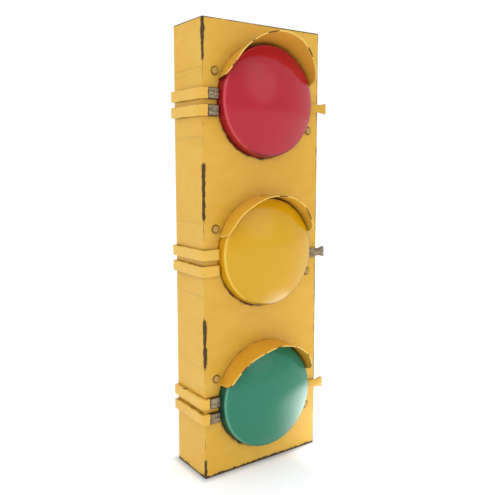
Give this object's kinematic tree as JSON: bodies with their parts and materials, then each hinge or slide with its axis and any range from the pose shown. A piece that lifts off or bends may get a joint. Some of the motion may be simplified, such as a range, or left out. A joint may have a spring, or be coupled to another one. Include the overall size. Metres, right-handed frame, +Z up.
{
  "type": "traffic signal head",
  "caption": "Upright traffic signal head: flat folded housing, domed red, amber and green lenses under short visors, side straps and tabs, hinged rear service door.",
  "frame": {"origin": "centre of the housing's underside, midway between front face and rear flanges", "axes": "+X to the right of someone facing the lenses, +Y towards the rear, +Z up"},
  "size_m": [0.242, 0.1525, 0.6999],
  "materials": {
    "housing_paint": "satin paint over steel, worn at the edges",
    "strap_paint": "satin paint, bare metal at some ends",
    "tab_paint": "satin paint, worn",
    "visor_paint": "satin paint over thin sheet",
    "lens_red": "glossy moulded plastic",
    "lens_amber": "glossy moulded plastic",
    "lens_green": "glossy moulded plastic",
    "lens_rubber": "matt black seal",
    "zinc_steel": "zinc-plated steel",
    "holder_plastic": "matt moulded thermoset",
    "reflector_aluminium": "spun and polished",
    "bulb_glass": "frosted glass",
    "hinge_steel": "zinc-plated steel, dulled",
    "screw_steel": "steel screws with worn paint",
    "lead_sheath": "soft sheath",
    "block_plastic": "cream moulding",
    "unit_plastic": "black moulded case",
    "grommet_rubber": "matt rubber",
    "switch_plastic": "black moulding",
    "rocker_plastic": "black moulding",
    "bumper_rubber": "matt rubber",
    "door_paint": "satin paint over steel",
    "gasket_foam": "closed-cell foam",
    "rivet_steel": "plain steel",
    "latch_zinc": "dull plated die casting"
  },
  "bodies": {
    "housing": {"housing_shell": "housing_paint", "strap_green_upper": "strap_paint", "strap_green_lower": "strap_paint", "latch_tab_green": "tab_paint", "visor_green": "visor_paint", "lens_green": "lens_green", "lens_gasket_green": "lens_rubber", "lens_ring_green": "zinc_steel", "lamp_bracket_green": "zinc_steel", "lampholder_green": "holder_plastic", "reflector_green": "reflector_aluminium", "bulb_green": "bulb_glass", "strap_amber_upper": "strap_paint", "strap_amber_lower": "strap_paint", "latch_tab_amber": "tab_paint", "visor_amber": "visor_paint", "lens_amber": "lens_amber", "lens_gasket_amber": "lens_rubber", "lens_ring_amber": "zinc_steel", "lamp_bracket_amber": "zinc_steel", "lampholder_amber": "holder_plastic", "reflector_amber": "reflector_aluminium", "bulb_amber": "bulb_glass", "strap_red_upper": "strap_paint", "strap_red_lower": "strap_paint", "latch_tab_red": "tab_paint", "visor_red": "visor_paint", "lens_red": "lens_red", "lens_gasket_red": "lens_rubber", "lens_ring_red": "zinc_steel", "lamp_bracket_red": "zinc_steel", "lampholder_red": "holder_plastic", "reflector_red": "reflector_aluminium", "bulb_red": "bulb_glass", "hinge_frame_leaf_lower": "hinge_steel", "hinge_frame_leaf_upper": "hinge_steel", "lens_screws": "screw_steel", "lens_nuts": "zinc_steel", "shade_rings": "holder_plastic", "lamp_leads": "lead_sheath", "service_leads": "lead_sheath", "terminal_block": "block_plastic", "flasher_unit": "unit_plastic", "cable_grommet": "grommet_rubber", "switch_body": "switch_plastic", "hanger_plate": "zinc_steel", "wall_bumpers": "bumper_rubber", "hinge_pins": "hinge_steel", "hinge_rivets_frame": "rivet_steel"},
    "rear_door": {"rear_door": "door_paint", "door_gasket": "gasket_foam", "hinge_door_leaf_lower": "hinge_steel", "hinge_door_leaf_upper": "hinge_steel", "hinge_rivets_door": "rivet_steel", "latch_barrel": "latch_zinc", "latch_nut": "latch_zinc"},
    "door_latch": {"latch_knob": "latch_zinc", "latch_cam": "zinc_steel"},
    "switch_rocker": {"switch_rocker": "rocker_plastic"}
  },
  "joints": [
    {"name": "door_hinge", "type": "hinge", "parent": "housing", "child": "rear_door", "pos_m": [0.1132, 0.0465, 0.34995], "axis": [0, 0, -1], "range_deg": [0, 170]},
    {"name": "latch_turn", "type": "hinge", "parent": "rear_door", "child": "door_latch", "pos_m": [-0.08, 0.0425, 0.34995], "axis": [0, 1, 0], "range_deg": [0, 90]},
    {"name": "switch_rock", "type": "hinge", "parent": "housing", "child": "switch_rocker", "pos_m": [0.06, 0.041, 0.033], "axis": [1, 0, 0], "range_deg": [0, 18]}
  ]
}
